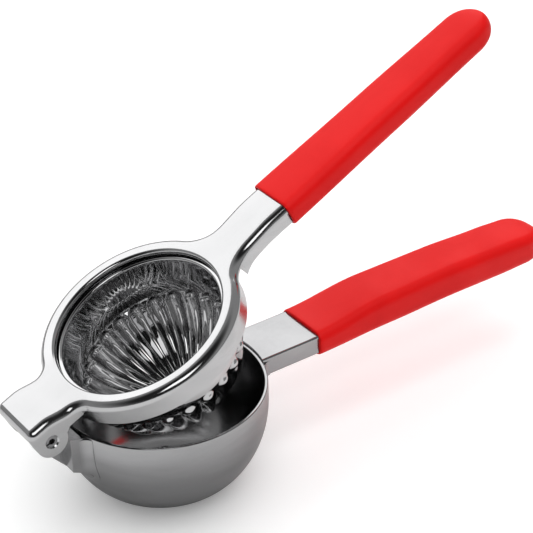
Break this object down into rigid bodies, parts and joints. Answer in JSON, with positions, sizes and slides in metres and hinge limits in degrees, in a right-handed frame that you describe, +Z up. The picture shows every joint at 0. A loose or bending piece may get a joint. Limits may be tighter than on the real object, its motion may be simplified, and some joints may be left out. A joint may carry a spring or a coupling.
{
  "type": "citrus press juicer",
  "caption": "Hand-held citrus press: a fluted bowl on a hinged arm presses fruit into a perforated strainer bowl, with soft red grips.",
  "frame": {"origin": "middle of the flat under the strainer bowl, which the squeezer stands on", "axes": "+Z up the strainer bowl's axis, +X towards the handles, +Y to the left of someone holding the handles and looking at the bowls' hinge"},
  "size_m": [0.2297, 0.0754, 0.143],
  "materials": {
    "polished_steel": "polished stainless steel",
    "mirror_steel": "mirror-polished stainless steel",
    "satin_steel": "satin stainless steel",
    "pin_steel": "plain steel",
    "red_silicone": "smooth matte silicone"
  },
  "bodies": {
    "lower_arm": {"strainer_bowl": "polished_steel", "hinge_block": "polished_steel", "handle_bar": "satin_steel", "lower_grip": "red_silicone"},
    "upper_arm": {"press_ring": "satin_steel", "press_bowl": "mirror_steel", "top_shell": "polished_steel", "upper_tang": "satin_steel", "upper_grip": "red_silicone", "hinge_pin": "pin_steel"}
  },
  "joints": [
    {"name": "press_hinge", "type": "hinge", "parent": "lower_arm", "child": "upper_arm", "pos_m": [-0.0486, 0, 0.0432], "axis": [0, -1, 0], "range_deg": [-23, 100]}
  ]
}
